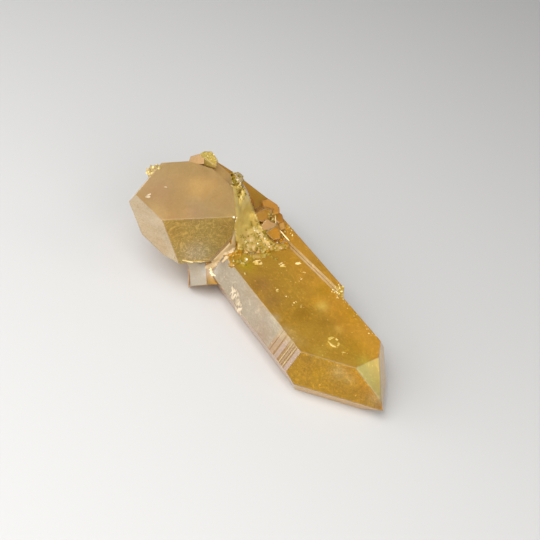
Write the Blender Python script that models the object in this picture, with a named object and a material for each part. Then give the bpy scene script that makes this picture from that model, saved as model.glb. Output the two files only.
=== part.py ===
"""Aura quartz cluster, one solid, drawn in metres with +Z up.

A long flat quartz point lies on one of its side faces.  A short thick crystal
that ends in faces at both ends has grown across its root, and smaller
crystals, knobs and a crust of tiny points fill the corner between the two.
All of them have grown into each other, so they are joined into one body.

Each crystal is cut from a block by flat planes.  A plane is told by the way it
faces (around the crystal, then up towards its point) and by how far it lies
from the seat of the crystal.
"""
import math
import random

import bpy
import bmesh
from mathutils import Matrix, Vector

MM = 0.001
BLOCK = 240.0          # mm, side of the block that every crystal is cut from
POINT_SLOPE = 38.2     # degrees, how far the six point faces of quartz lean in
LEFT_ON = 1e-6         # m, points nearer than this to a cut lie on it
ONE_POINT = 4e-6       # m, corners nearer than this to each other are one corner
CRUST_SEED = 7
GROUND = 0.0           # mm, height of the flat the cluster stands on

# ---- the two big crystals: distances in mm of the six side faces, first the
# ---- one that looks up, then round, and of the point face above each of them
LONG_POINT = dict(
    seat=(0.0, 0.0, 12.9), aim=(0.0, 0.0), roll=0.0,
    sides=(0.0, 0.0, None, 12.9, 21.65, 17.95),
    point=(6.45, 0.0, 6.8, 19.2, 25.0, 18.0),
    cuts=((112.4, -0.3, 5.6), (0, -90, 47.5)))
SHORT_CRYSTAL = dict(
    seat=(-45.6, -15.4, 24.8), aim=(-20.5, -39.6), roll=-0.4,
    sides=(0.0, None, 9.0, 16.0, 28.0, 17.1),
    point=(0.0, 0.0, 8.5, 13.6, None, None),
    cuts=((87.2, -42.2, 9.45), (175.1, -67.9, 13.9), (-138.0, -62.6, 16.0),
          (-111.9, -42.4, 18.6), (-26.6, 48.8, 7.0), (-98.9, -1.7, 19.45)))

# ---- points on the side turned away: seat, aim, radius, length, all in mm or degrees
AWAY_POINTS = (
    ((-57, 10, 9), (150, 8), 4.2, 6.0), ((-50, 15, 5), (108, -2), 3.3, 5.5),
    ((-60, 4, 14), (172, 4), 3.6, 4.0), ((-55, 10, 17), (122, 24), 3.2, 4.0),
    ((-59, -2, 8), (188, -6), 3.0, 4.0), ((-59, 7, 22), (150, 22), 2.6, 4.0))

# ---- lesser crystals and lumps: a middle, then planes (around, up, distance)
SIDE_CRYSTAL = ((-28, 19, 8), (
    (0, 90, 6.2), (90, 30, 5.75), (-84.4, 20, 2.2), (-41, 62, 10.05), (70, -29, 4.4),
    (90, -30, 4.5), (0, -90, 5.5), (27, -47, 12.3), (180, 0, 20.0), (-90, 0, 7.0)))
REAR_CRYSTAL = ((-46, 17, 9), (
    (0, 90, 6.2), (102.4, -10, 4.4), (75, -10, 4.65), (-4.6, 30, 6.0),
    (-37.2, 45, 5.05), (-9.8, 50, 4.8), (-104.8, 0, 4.4), (-133.2, -5, 7.9),
    (0, -90, 7.0)))
LOWER_STUB = ((-41, -4, 5), (
    (-70.8, 37.6, 3.4), (12.4, 45.4, 4.25), (-115.3, -5.8, 3.9), (-167.6, -45.4, 4.0),
    (109.2, -37.6, 3.6), (64.7, 5.8, 5.15), (-20.4, -39.7, 4.2), (-68.5, -20.7, 5.65),
    (159.6, 39.7, 6.0)))
BACK_CRYSTAL = ((-56, 9, 24), (
    (-71.4, 43, 4.2), (102.7, 85, 3.65), (108.9, 31.5, 1.35), (59.3, -7.7, 2.6),
    (-24, -33.7, 3.0), (-70.2, -27.8, 2.15), (-123.7, -2, 2.75), (108.6, -43, 7.0)))
PINK_KNOB = ((-56, 0, 31), (
    (-81.8, 56, 2.25), (-137.2, 3.8, 1.65), (169.3, 35.8, 1.65), (125.7, 36.7, 2.0),
    (59.7, 5.3, 2.2), (-28.4, -30, 1.6), (-102.9, 6.2, 2.45), (138.4, -45.4, 5.5)))
GREEN_KNOB = ((-55, 3, 31), (
    (-16.9, 63.9, 3.5), (-50.7, 15.5, 3.15), (-169.5, 29.1, 2.3), (156.5, 38.4, 2.25),
    (90.8, 20.8, 2.0), (56.3, -10, 2.05), (-45.9, -29.6, 2.1), (-95.2, -3.5, 2.25),
    (138.4, -45.4, 6.5)))
YELLOW_KNOB = ((-50, 10, 26), (
    (-35.4, 57.8, 3.45), (-70.8, 23, 2.8), (165.2, 39.5, 1.75), (110.8, 34.6, 1.55),
    (71.8, 7.5, 1.2), (43.7, -17.2, 1.25), (-55.7, -27.3, 2.4), (-106.8, 6.8, 2.05),
    (138.4, -45.4, 7.0)))
CRUST_SLOPE = ((-46, 12, 8), (
    (-12.4, 74.1, 8.1), (0, 90, 6.9), (-146.3, 68.2, 7.9), (131, 48.7, 12.6),
    (104.2, 42.6, 10.6), (87.1, 34.5, 10.8), (82.8, 31.9, 11.0), (-19.1, -43, 7.55),
    (-122, -6, 2.95), (98, 8, 9.3), (140, 5, 9.5), (120, -28, 9.0), (80, -32, 8.2),
    (165, -25, 10.0), (0, -90, 6.5)))
BACK_MASS = ((-54, 3, 18), (
    (-19.8, 50.3, 11.2), (-178.7, 44.7, 11.2), (167.8, 48.3, 10.9), (98.9, 40.5, 10.1),
    (65.7, 14.6, 8.4), (57.5, 5.7, 8.0), (-21.9, -46.6, 3.5), (-70.1, -40.2, 9.2),
    (-147.3, 27.1, 13.9), (138, -45, 9.5), (160, 15, 8.5), (110, 8, 9.0),
    (135, -12, 10.0), (-170, -20, 9.5)))
SADDLE = ((-46, 12, 13), (
    (37.2, 19.7, 2.5), (17.5, 9.8, 5.45), (178.8, 36.4, 10.0), (95.5, 31.6, 6.0),
    (56.8, 21.2, 2.85), (29.9, 7.2, 4.25), (4, -13.9, 6.7), (-15.1, -32.4, 8.9),
    (-127.9, 7.6, 3.75), (-124.3, -3.5, 3.75), (138.4, -45.4, 7.7)))
STEPS = (
    ((-44, 16, 15), ((-25, 55, 3.7), (-165, 48, 2.4), (126, 60, 3.2), (41, 9, 3.0),
                     (-2, -27, 2.1), (-47, -35, 2.0), (-108, -6, 2.5), (138, -45, 3.3))),
    ((-41, 16, 15), ((-21, 47, 3.3), (-145, 33, 1.7), (101, 54, 1.8), (12, -18, 2.5),
                     (-10, -30, 2.3), (-78, -27, 2.7), (138, -45, 3.7))),
    ((-38, 16, 14), ((-20, 57, 3.5), (-161, 44, 1.9), (71, 39, 2.6), (52, 22, 2.7),
                     (-8, -28, 2.6), (-79, -27, 1.9), (138, -45, 3.4))))
ROOT = ((-51, 7, 11), (
    (0, -90, 11.0), (0, 0, 10.0), (40, -20, 11.2), (85, 10, 10.3), (130, -12, 10.3),
    (175, 14, 9.4), (-145, -22, 11.6), (-98, -30, 11.1), (-55, -15, 11.7), (60, 55, 8.7),
    (150, 50, 10.3), (-120, 45, 11.0), (-30, 60, 9.7)))


def clear_scene():
    for item in list(bpy.data.objects):
        bpy.data.objects.remove(item, do_unlink=True)


def facing(around, up):
    """Direction that looks `around` degrees about +Z and `up` degrees above level."""
    a, u = math.radians(around), math.radians(up)
    return Vector((math.cos(a) * math.cos(u), math.sin(a) * math.cos(u), math.sin(u)))


def cut_from_block(bm, planes):
    """Cuts the block by planes (outward direction, distance in mm), all closed again."""
    for out, distance in planes:
        geometry = bm.verts[:] + bm.edges[:] + bm.faces[:]
        cut = bmesh.ops.bisect_plane(
            bm, geom=geometry, dist=LEFT_ON, plane_co=out * distance * MM,
            plane_no=out, clear_outer=True)
        rim = [item for item in cut["geom_cut"] if isinstance(item, bmesh.types.BMEdge)]
        if len(rim) > 2:
            bmesh.ops.contextual_create(bm, geom=rim)


def new_crystal(name, seat, turn, planes):
    """A convex crystal: a block, cut by planes given in its own frame, then placed."""
    bm = bmesh.new()
    bmesh.ops.create_cube(bm, size=BLOCK * MM)
    cut_from_block(bm, planes)
    bmesh.ops.recalc_face_normals(bm, faces=bm.faces[:])
    bm.transform(Matrix.Translation(Vector(seat) * MM) @ turn.to_4x4())
    mesh = bpy.data.meshes.new(name)
    bm.to_mesh(mesh)
    bm.free()
    crystal = bpy.data.objects.new(name, mesh)
    bpy.context.collection.objects.link(crystal)
    return crystal


def crystal_frame(aim, roll):
    """Turns +Z to the aim (around, up); the first side face looks up, then is rolled."""
    c = facing(*aim)
    up = Vector((0, 0, 1))
    a = (up - c * up.dot(c))
    a = a.normalized() if a.length > 0.01 else Vector((1, 0, 0))
    b = c.cross(a)
    frame = Matrix((a, b, c)).transposed()
    return frame @ Matrix.Rotation(math.radians(roll), 3, "Z")


def quartz(name, seat, aim, roll, sides, point, cuts=()):
    """Quartz: six side faces 60 degrees apart and a point face above each of them."""
    planes = []
    for k in range(6):
        if sides[k] is not None:
            planes.append((facing(60 * k, 0), sides[k]))
        if point[k] is not None:
            planes.append((facing(60 * k, POINT_SLOPE), point[k]))
    planes += [(facing(around, up), distance) for around, up, distance in cuts]
    return new_crystal(name, seat, crystal_frame(aim, roll), planes)


def lump(name, middle, cuts):
    planes = [(facing(around, up), distance) for around, up, distance in cuts]
    return new_crystal(name, middle, Matrix.Identity(3), planes)


def small_point(name, seat, aim, radius, length, rng, root=2.0):
    """A tiny quartz point that stands `length` out of its seat, rooted `root` radii deep."""
    sides = [radius * rng.uniform(0.75, 1.15) for _ in range(6)]
    rise = math.sin(math.radians(POINT_SLOPE))
    point = [length * rise * rng.uniform(0.9, 1.1) for _ in range(6)]
    return quartz(name, seat, aim, rng.uniform(0, 60), sides, point,
                  ((0, -90, root * radius),))


def crust_points(rng):
    """Tiny points on the slope between the long point and the short crystal."""
    left, right, top = Vector((-36.3, -0.5, 12.9)), Vector((-32.3, 17.6, 12.9)), \
        Vector((-45.2, 13.4, 16.2))
    made = []
    for n in range(80):
        across, rise = rng.random(), rng.random() ** 1.5 * 0.75
        seat = left + (right - left) * across * (1 - 0.62 * rise) + (top - left) * rise
        aim = (rng.uniform(-80, 60), rng.uniform(35, 85))
        radius = rng.uniform(0.4, 0.95)
        made.append(small_point("crust_%d" % n, seat - facing(*aim) * radius, aim,
                                radius, radius * rng.uniform(1.8, 2.6), rng))
    return made


def edge_points(rng):
    """A few pale points behind the upper left edge of the short crystal."""
    made = []
    for n, seat in enumerate(((-57.9, -13.0, 30.8), (-57.9, -12.0, 31.4), (-57.6, -11.0, 31.6),
                              (-57.2, -12.8, 29.9), (-57.5, -12.0, 30.8), (-57.4, -10.6, 31.9))):
        aim = (rng.uniform(150, 260), rng.uniform(10, 60))
        made.append(small_point("edge_%d" % n, seat, aim, rng.uniform(0.5, 0.8),
                                rng.uniform(0.9, 1.6), rng, root=5.0))
    return made


def away_points(rng):
    """Plain quartz points that the camera side never shows."""
    made = []
    for n, (seat, aim, radius, length) in enumerate(AWAY_POINTS):
        made.append(small_point("away_%d" % n, seat, aim, radius, length + radius, rng))
    return made


def select_only(item):
    bpy.ops.object.select_all(action="DESELECT")
    item.select_set(True)
    bpy.context.view_layer.objects.active = item


def merge_near_corners(body):
    """Closes the hair-thin faces that a join can leave."""
    bm = bmesh.new()
    bm.from_mesh(body.data)
    bmesh.ops.remove_doubles(bm, verts=bm.verts[:], dist=ONE_POINT)
    bmesh.ops.dissolve_degenerate(bm, edges=bm.edges[:], dist=ONE_POINT)
    bm.to_mesh(body.data)
    bm.free()


def combine(body, other, operation):
    """One skin round both (UNION), or the body less the other (DIFFERENCE)."""
    select_only(body)
    joint = body.modifiers.new("combine", "BOOLEAN")
    joint.operation = operation
    joint.solver = "EXACT"
    joint.object = other
    bpy.ops.object.modifier_apply(modifier=joint.name)
    bpy.data.objects.remove(other, do_unlink=True)
    merge_near_corners(body)


def drop_loose_chips(bm):
    """Keeps the body that most corners belong to; chips that touch nothing go."""
    left, bodies = set(bm.verts), []
    while left:
        found, edge = set(), [left.pop()]
        while edge:
            corner = edge.pop()
            found.add(corner)
            near = [e.other_vert(corner) for e in corner.link_edges]
            edge += [v for v in near if v in left]
            left -= set(near)
        bodies.append(found)
    bodies.sort(key=len)
    chips = [v for found in bodies[:-1] for v in found]
    bmesh.ops.delete(bm, geom=chips, context="VERTS")


def rest_and_centre(body):
    """Trims what is below the ground flat and puts the origin under the middle."""
    below = new_crystal("below", (0, 0, 0), Matrix.Identity(3), [(Vector((0, 0, 1)), GROUND)])
    combine(body, below, "DIFFERENCE")
    bm = bmesh.new()
    bm.from_mesh(body.data)
    drop_loose_chips(bm)
    low = Vector([min(v.co[i] for v in bm.verts) for i in range(3)])
    high = Vector([max(v.co[i] for v in bm.verts) for i in range(3)])
    middle = (low + high) / 2
    bm.transform(Matrix.Translation((-middle.x, -middle.y, -low.z)))
    bmesh.ops.recalc_face_normals(bm, faces=bm.faces[:])
    bm.to_mesh(body.data)
    bm.free()
    print("moved by mm", [round(-middle.x * 1000, 3), round(-middle.y * 1000, 3),
                          round(-low.z * 1000, 3)])


def quartz_material():
    """Golden see-through quartz under a thin metal coat."""
    material = bpy.data.materials.new("aura_quartz")
    material.use_nodes = True
    shader = material.node_tree.nodes["Principled BSDF"]
    shader.inputs["Base Color"].default_value = (0.80, 0.55, 0.22, 1.0)
    shader.inputs["Roughness"].default_value = 0.12
    shader.inputs["IOR"].default_value = 1.54
    shader.inputs["Transmission Weight"].default_value = 0.6
    return material


def build_cluster():
    rng = random.Random(CRUST_SEED)
    body = quartz("quartz_cluster", **LONG_POINT)
    others = [quartz("short", **SHORT_CRYSTAL)]
    for name, spec in (("root", ROOT), ("mass", BACK_MASS), ("side", SIDE_CRYSTAL),
                       ("rear", REAR_CRYSTAL), ("stub", LOWER_STUB),
                       ("back", BACK_CRYSTAL), ("slope", CRUST_SLOPE), ("saddle", SADDLE),
                       ("pink", PINK_KNOB), ("green", GREEN_KNOB),
                       ("yellow", YELLOW_KNOB)):
        others.append(lump(name, *spec))
    others += [lump("step_%d" % n, *spec) for n, spec in enumerate(STEPS)]
    others += crust_points(rng) + edge_points(rng) + away_points(rng)
    for other in others:
        combine(body, other, "UNION")
    rest_and_centre(body)
    body.data.materials.append(quartz_material())
    print("faces", len(body.data.polygons), "size mm",
          [round(d * 1000, 2) for d in body.dimensions])


clear_scene()
build_cluster()
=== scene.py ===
# %% [markdown]
# # Aura quartz cluster
# Two big quartz crystals and a handful of small ones have grown through each other.  The stone was
# then coated with a metal film far thinner than a hair, which is what gives the golden body its
# pearly, faintly lavender shine.  The solid shape comes from the CAD model; this lesson gives it
# soft edges, growth lines, a crust of tiny crystals, a coated glassy finish, a floor and light.

# %% Load the frame
import math
import random

import bpy
from mathutils import Matrix, Vector


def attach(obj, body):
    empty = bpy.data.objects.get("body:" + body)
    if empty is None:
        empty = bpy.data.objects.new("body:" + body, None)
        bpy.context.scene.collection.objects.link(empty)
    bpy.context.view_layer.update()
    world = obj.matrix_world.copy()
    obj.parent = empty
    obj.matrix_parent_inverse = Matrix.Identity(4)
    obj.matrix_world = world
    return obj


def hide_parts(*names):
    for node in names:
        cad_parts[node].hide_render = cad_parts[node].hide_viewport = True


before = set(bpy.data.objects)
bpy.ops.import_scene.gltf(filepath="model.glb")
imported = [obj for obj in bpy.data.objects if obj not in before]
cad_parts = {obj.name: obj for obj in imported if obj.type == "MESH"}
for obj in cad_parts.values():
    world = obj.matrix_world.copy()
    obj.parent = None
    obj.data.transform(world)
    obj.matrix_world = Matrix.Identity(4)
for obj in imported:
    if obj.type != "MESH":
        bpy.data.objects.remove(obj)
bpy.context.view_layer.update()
MM = 0.001

# %% [markdown]
# ## Camera
# The camera stands high to the right of the point and looks down along it with a short telephoto
# lens, so that the long crystal comes towards the lower right of the view.  It is told by its
# place and three angles, exactly as in the sidebar of Blender's viewport.

# %% Camera
CAMERA_PLACE = (0.12864, -0.11135, 0.19229)
CAMERA_TURN = [math.radians(a) for a in (43.967, -8.23, 56.863)]
LENS_MM = 62.307
NEAREST_SEEN = 0.01   # m: the stone is small, so the lens also has to see close by

bpy.ops.object.camera_add(location=CAMERA_PLACE, rotation=CAMERA_TURN)
camera = bpy.context.object
camera.name = "camera"
camera.data.lens = LENS_MM
camera.data.clip_start = NEAREST_SEEN
bpy.context.scene.camera = camera
print("camera stands", round(camera.location.length, 3), "m from the stone")

# %% [markdown]
# ## Floor
# The cluster lies on a pale matt table top.  One large plane is enough: it runs far past the
# view, so it needs no edge and no backdrop.

# %% Floor
FLOOR_SIDE = 6.0   # m
PAPER_GREY, PAPER_ROUGHNESS = (0.49, 0.487, 0.48, 1), 0.7


def object_mode():
    """Leaves edit mode."""
    bpy.ops.object.mode_set(mode="OBJECT")


def deselect_all():
    """Leaves edit mode and clears the selection, because operators act on all that is selected."""
    if bpy.context.object and bpy.context.object.mode != "OBJECT":
        object_mode()
    bpy.ops.object.select_all(action="DESELECT")


deselect_all()
bpy.ops.mesh.primitive_plane_add(size=FLOOR_SIDE, location=(0, 0, 0))
floor = bpy.context.object
floor.name = "floor"
paper = bpy.data.materials.new("matt_paper")
paper.use_nodes = True
paper_shader = paper.node_tree.nodes["Principled BSDF"]
paper_shader.inputs["Base Color"].default_value = PAPER_GREY
paper_shader.inputs["Roughness"].default_value = PAPER_ROUGHNESS
floor.data.materials.append(paper)
print("floor is", FLOOR_SIDE, "m wide")

# %% [markdown]
# ## Light
# A coated crystal is a set of tilted mirrors, so each light is placed for the face that mirrors
# it.  The key box and the left card stand low on the camera's left for the long crystal's left
# face, where the coat's shine shows best.  The front box leans over from the front, the rim box
# lights the tip from behind, the side box fills the corner between the two big crystals, and the
# low card warms the tip.  The room stays dim, so that the tops keep their deep gold.  A small
# lamp would show as a hard white dot, so all are area lights.

# %% Soft boxes
SOFT_BOXES = (   # name, degrees around and up, distance and size in m, watts, colour
    ("key_box", -112, 22, 0.46, (0.66, 0.34), 1.90, (1, 1, 1)),
    ("front_box", -88, 67, 0.36, (0.31, 0.26), 1.44, (1, 1, 1)),
    ("rim_box", 42, 41, 0.90, (0.28, 0.28), 0.70, (1.0, 0.93, 0.76)),
    ("side_box", -14, 35, 0.46, (0.36, 0.30), 1.08, (1, 1, 1)),
    ("left_card", -122, 5, 0.50, (0.60, 0.20), 0.60, (1, 1, 1)),
    ("low_card", -52, 9, 0.50, (0.55, 0.14), 0.11, (1.0, 0.74, 0.36)))
AIM = Vector((0, 0, 0.012))   # m: the middle of the stone
ROOM_COLOR, ROOM_STRENGTH = (0.97, 0.98, 1.0, 1), 0.2

for name, across, up, distance, size, power, color in SOFT_BOXES:
    a, u = math.radians(across), math.radians(up)
    way = Vector((math.cos(a) * math.cos(u), math.sin(a) * math.cos(u), math.sin(u)))
    bpy.ops.object.light_add(type="AREA", location=AIM + way * distance,
                             rotation=way.to_track_quat("Z", "Y").to_euler())
    light = bpy.context.object
    light.name = name
    light.data.shape = "RECTANGLE"
    light.data.size, light.data.size_y = size
    light.data.energy = power
    light.data.color = color
world = bpy.data.worlds.new("dim_room")
world.use_nodes = True
world.node_tree.nodes["Background"].inputs["Color"].default_value = ROOM_COLOR
world.node_tree.nodes["Background"].inputs["Strength"].default_value = ROOM_STRENGTH
bpy.context.scene.world = world
bpy.context.scene.view_settings.view_transform = "Standard"
print(len(SOFT_BOXES), "lights,", round(sum(box[5] for box in SOFT_BOXES), 2), "W in all")

# %% [markdown]
# ## The stone's own skin
# The CAD solid has the right shape but razor-sharp edges.  A copy of it is merged into one closed
# skin, and flat faces that were cut into triangles become whole faces again.  That copy then takes
# the finer work.  The CAD solid itself stays untouched and hidden.

# %% Copy and merge
SAME_PLACE = 0.000002   # m: corners nearer than this are one corner
SAME_PLANE = math.radians(0.4)


def only(obj, mode="OBJECT"):
    """Selects one object, and in edit mode starts with nothing of it selected."""
    deselect_all()
    obj.select_set(True)
    bpy.context.view_layer.objects.active = obj
    if mode == "EDIT":
        bpy.ops.object.mode_set(mode="EDIT")
        bpy.ops.mesh.select_all(action="DESELECT")


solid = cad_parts["quartz_cluster"]
stone = bpy.data.objects.new("coated_stone", solid.data.copy())
bpy.context.collection.objects.link(stone)
only(stone, "EDIT")
bpy.ops.mesh.select_all(action="SELECT")
bpy.ops.mesh.remove_doubles(threshold=SAME_PLACE)
bpy.ops.mesh.dissolve_limited(angle_limit=SAME_PLANE)
object_mode()
print("skin has", len(stone.data.polygons), "faces")

# %% [markdown]
# ## Growth lines
# Quartz grows in layers, and its side faces keep the rims of the layers as fine steps that run
# straight across the crystal.  They are deepest near the tip of the long crystal's left face.
# A bump map could fake them, but real steps catch the light and stay in the mesh.  So the face is
# bisected across, and every other strip is extruded outwards by a few hundredths of a millimetre.

# %% Growth lines on the left face
LEFT = (0, -0.866, 0.5)   # the way the long crystal's left face looks
LEFT_WAY = Vector(LEFT)
LEFT_POINT = Vector((0, -0.002361, 0.0129))   # m: a point on that face
MAUVE, BROWN = (0.52, 0.36, 0.29, 0.2), (0.4, 0.2, 0.05, 0.5)
CREAM, ROSE = (0.66, 0.5, 0.27, 0.3), (0.5, 0.31, 0.18, 0.4)
STRIPS = (   # from the tip back: mm along the crystal, tint, raised or not
    (23.7, 22.3, MAUVE, True), (22.3, 21.9, BROWN, False), (21.9, 21.6, CREAM, True),
    (21.6, 21.1, BROWN, False), (21.1, 20.7, ROSE, True), (20.7, 20.3, BROWN, False),
    (20.3, 20.0, CREAM, True), (20.0, 19.2, BROWN, False), (19.2, 17.8, MAUVE, True),
    (17.8, 17.3, BROWN, False), (17.3, 15.9, ROSE, True), (15.9, 15.7, BROWN, False),
    (15.7, 14.9, ROSE, True))
STEP = 0.07 * MM


def pick_faces(obj, wanted):
    """Selects the faces for which wanted(face) holds, ready for edit mode."""
    only(obj, "EDIT")
    bpy.ops.mesh.select_mode(type="FACE")
    bpy.ops.mesh.select_all(action="DESELECT")
    object_mode()
    picked = 0
    for face in obj.data.polygons:
        face.select = wanted(face)
        picked += face.select
    bpy.ops.object.mode_set(mode="EDIT")
    return picked


def on_left_face(face):
    """True on the long crystal's left face and on the steps raised from it."""
    return face.normal.dot(LEFT_WAY) > 0.999 and face.center.x > -0.016 \
        and abs((face.center - LEFT_POINT).dot(LEFT_WAY)) < 0.0002


for x in sorted({end for strip in STRIPS for end in strip[:2]}):
    pick_faces(stone, on_left_face)
    bpy.ops.mesh.bisect(plane_co=(x * MM, 0, 0), plane_no=(1, 0, 0))
raised = pick_faces(stone, lambda f: on_left_face(f)
                    and any(b * MM < f.center.x < a * MM for a, b, _, up in STRIPS if up))
bpy.ops.mesh.extrude_region_move(TRANSFORM_OT_translate={"value": LEFT_WAY * STEP})
object_mode()
print(raised, "strips raised")

# %% [markdown]
# ## Soft edges
# No real edge is perfectly sharp: it shows as a thin bright line.  A Bevel modifier would round
# every edge alike, so the edges are chosen in code and bevelled by the edit mode tool.  Only the
# long ones between large faces take part: the small crystals' edges are finer than the bevel.

# %% Bevel the long edges
EDGE_WIDTH = 0.12 * MM
SHORTEST_EDGE, SMALLEST_FACE, LEAST_ANGLE = 1.2 * MM, 3 * MM * MM, math.radians(15)


def pick_long_edges(obj):
    """Selects the long edges between two large faces that meet at a clear angle."""
    only(obj, "EDIT")
    bpy.ops.mesh.select_mode(type="EDGE")
    bpy.ops.mesh.select_all(action="DESELECT")
    object_mode()
    mesh, beside = obj.data, {}
    for face in mesh.polygons:
        for key in face.edge_keys:
            beside.setdefault(key, []).append(face)
    picked = 0
    for edge in mesh.edges:
        faces = beside.get(edge.key, [])
        a, b = (mesh.vertices[v].co for v in edge.vertices)
        if len(faces) == 2 and (a - b).length > SHORTEST_EDGE \
                and min(f.area for f in faces) > SMALLEST_FACE \
                and faces[0].normal.angle(faces[1].normal) > LEAST_ANGLE:
            edge.select = True
            picked += 1
    bpy.ops.object.mode_set(mode="EDIT")
    return picked


picked_edges = pick_long_edges(stone)
bpy.ops.mesh.bevel(offset=EDGE_WIDTH, segments=2, affect="EDGES", clamp_overlap=False)
object_mode()
print(picked_edges, "edges softened")

# %% [markdown]
# ## Which face shows which colour
# The coat's colour depends on its thickness, so faces differ, and part of what each face shows is
# the light it mirrors, which some rows paint in, as their notes say.  A material for each face
# would do, but a closed body of see-through quartz wants one material.  So the tints are kept on
# the mesh as a colour attribute, which the finish reads.  A tint's fourth number says how grainy
# the face is.  Faces are told by the way they look and by a point near them.

# %% Tints of the faces
GOLD = (0.86, 0.44, 0.03, 0.5)   # for faces that no row names
UP = (0, 0, 1)
FACE_TINTS = (
    # what it is, facing, near in mm, reach in mm, tint and graininess
    ("long top", UP, (-6, 6, 12.9), 60, (0.65, 0.357, 0.036, 0.45)),
    # the left face's pale tint partly paints the coat's sheen, on top of the real sheen from the
    # key box and the left card
    ("long left with painted sheen", LEFT, (-4, -4, 10.4), 60, (0.465, 0.39, 0.31, 0.55)),
    ("long under", (0, -0.925, -0.381), (-7, -4, 3.2), 60, (0.78, 0.44, 0.22, 0.4)),
    ("tip left", (0.618, -0.681, 0.393), (32, 2.6, 7.9), 12, (0.74, 0.39, 0.006, 0.9)),
    ("tip under", (0.618, -0.681, -0.393), (33, 2.8, 2.1), 12, (1.0, 0.58, 0.17, 0.2)),
    ("tip middle", (0.618, 0, 0.786), (37, 11, 10.7), 12, (0.69, 0.59, 0.15, 0.3)),
    ("tip right", (0.618, 0.681, 0.393), (37, 15, 7.7), 12, (1.0, 0.56, 0.03, 0.2)),
    ("short top", (0.60, -0.217, 0.769), (-25, -8, 30), 16, (0.49, 0.34, 0.15, 0.25)),
    ("short olive", (0.917, -0.337, 0.211), (-17, -8, 18), 14, (0.76, 0.55, 0.12, 1.0)),
    ("short beige", (0.446, -0.891, -0.088), (-25, -19, 19), 14, (0.77, 0.66, 0.46, 0.6)),
    ("corner", (0.998, -0.054, -0.027), (-14.3, -2, 14), 6, (0.60, 0.42, 0.20, 0.3)),
    ("stub light", (0.261, -0.748, 0.61), (-17, -9, 7.5), 5, (0.40, 0.37, 0.325, 0.3)),
    ("stub gold", (0.686, 0.151, 0.712), (-15, -5, 8.4), 4, (0.78, 0.50, 0.14, 0.3)),
    ("edge druse", None, (-34, -12, 31), 4.5, (0.74, 0.58, 0.28, 0.4)),
    ("green knob", None, (-30.5, 0.5, 33), 3.2, (0.76, 0.62, 0.16, 0.8)),
    ("pink knob", None, (-32.5, -2.5, 33), 3.4, (0.74, 0.50, 0.27, 0.5)),
    # painted light: a lighter tint on a knob face that turns away from the lights and lies in shade
    ("knob side painted lighter", (0.303, -0.869, 0.391), (-24.6, 5.6, 27.5), 4, (0.78, 0.55, 0.06, 1.0)),
    ("yellow knob", None, (-26, 7, 27.5), 4.0, (0.40, 0.26, 0.0, 1.0)),
    ("mauve facet", (-0.02, 0.085, 0.996), (-30, 6, 27.8), 5.0, (0.43, 0.23, 0.11, 0.2)),
    ("back crystal", None, (-32, 6.5, 27), 6.0, (0.54, 0.26, 0.08, 0.5)),
    ("steps", None, (-17.5, 12.5, 17), 6.5, (0.60, 0.30, 0.03, 0.4)),
    ("rear crystal", None, (-28, 14.5, 16), 7.0, (0.76, 0.19, 0.0, 0.6)),
    ("side crystal", UP, (-12, 17, 14.2), 30, (0.37, 0.11, 0.0, 0.8)),
    ("side end", None, (12, 18.6, 13.4), 3, (0.74, 0.50, 0.05, 0.9)),
    ("side edge", (0.092, -0.935, 0.342), (-6, 16.2, 13.6), 30, (0.62, 0.52, 0.18, 0.5)),
)
EDGE_TINT = (0.56, 0.4, 0.19, 0.2)   # the slim bevels, unless a row below names them
EDGE_TINTS = (("stub edges", None, (-17, -9, 5), 7.5, (0.36, 0.18, 0.07, 0.3)),
              ("tip edges", None, (40, 11, 5), 5.0, (0.82, 0.47, 0.13, 0.3)))
print(len(FACE_TINTS), "faces named")

# %% Helpers that find and store a tint
SAME_WAY = 0.995   # two directions count as one when their dot product is above this
SLIM = 0.012       # a strip's area over the square of its outline's length


def narrow(face, points):
    """True for the slim strips that the bevel leaves along an edge."""
    ring = [points[v].co for v in face.vertices]
    outline = sum((a - b).length for a, b in zip(ring, ring[1:] + ring[:1]))
    return face.area < SLIM * outline * outline


def face_tint(face, rows, rest):
    """The tint of the first row that the face matches, or `rest`."""
    for _, way, near, reach, tint in rows:
        if (way is None or face.normal.dot(Vector(way).normalized()) > SAME_WAY) \
                and (face.center - Vector(near) * MM).length < reach * MM:
            return tint
    return rest


def paint(obj, tint_of):
    """Stores a tint on every corner of the mesh; tint_of(face) gives the face's own tint."""
    layer = obj.data.color_attributes.new("coat_tint", "FLOAT_COLOR", "CORNER")
    for face in obj.data.polygons:
        tint = tint_of(face)
        for corner in face.loop_indices:
            layer.data[corner].color = tint
    print("painted", obj.name, len(layer.data), "corners")


print(sum(narrow(f, stone.data.vertices) for f in stone.data.polygons), "slim strips")

# %% Paint the stone
SIDE_WAY = Vector((0.092, -0.935, 0.342)).normalized()
SIDE_LINE = (13.35, 13.62)   # mm: a thin brown line runs along the side crystal's pale edge
for height in SIDE_LINE:
    pick_faces(stone, lambda f: f.normal.dot(SIDE_WAY) > SAME_WAY)
    bpy.ops.mesh.bisect(plane_co=(0, 0, height * MM), plane_no=(0, 0, 1))
object_mode()


def stone_tint(face):
    """The thin side line, the growth lines and the bevels come before the faces' own tints."""
    if face.normal.dot(SIDE_WAY) > SAME_WAY \
            and SIDE_LINE[0] < face.center.z / MM < SIDE_LINE[1]:
        return BROWN
    if on_left_face(face):
        for a, b, strip_tint, _ in STRIPS:
            if b * MM < face.center.x < a * MM:
                return strip_tint
    if narrow(face, stone.data.vertices):
        return face_tint(face, EDGE_TINTS, EDGE_TINT)
    return face_tint(face, FACE_TINTS, GOLD)


paint(stone, stone_tint)
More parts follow.
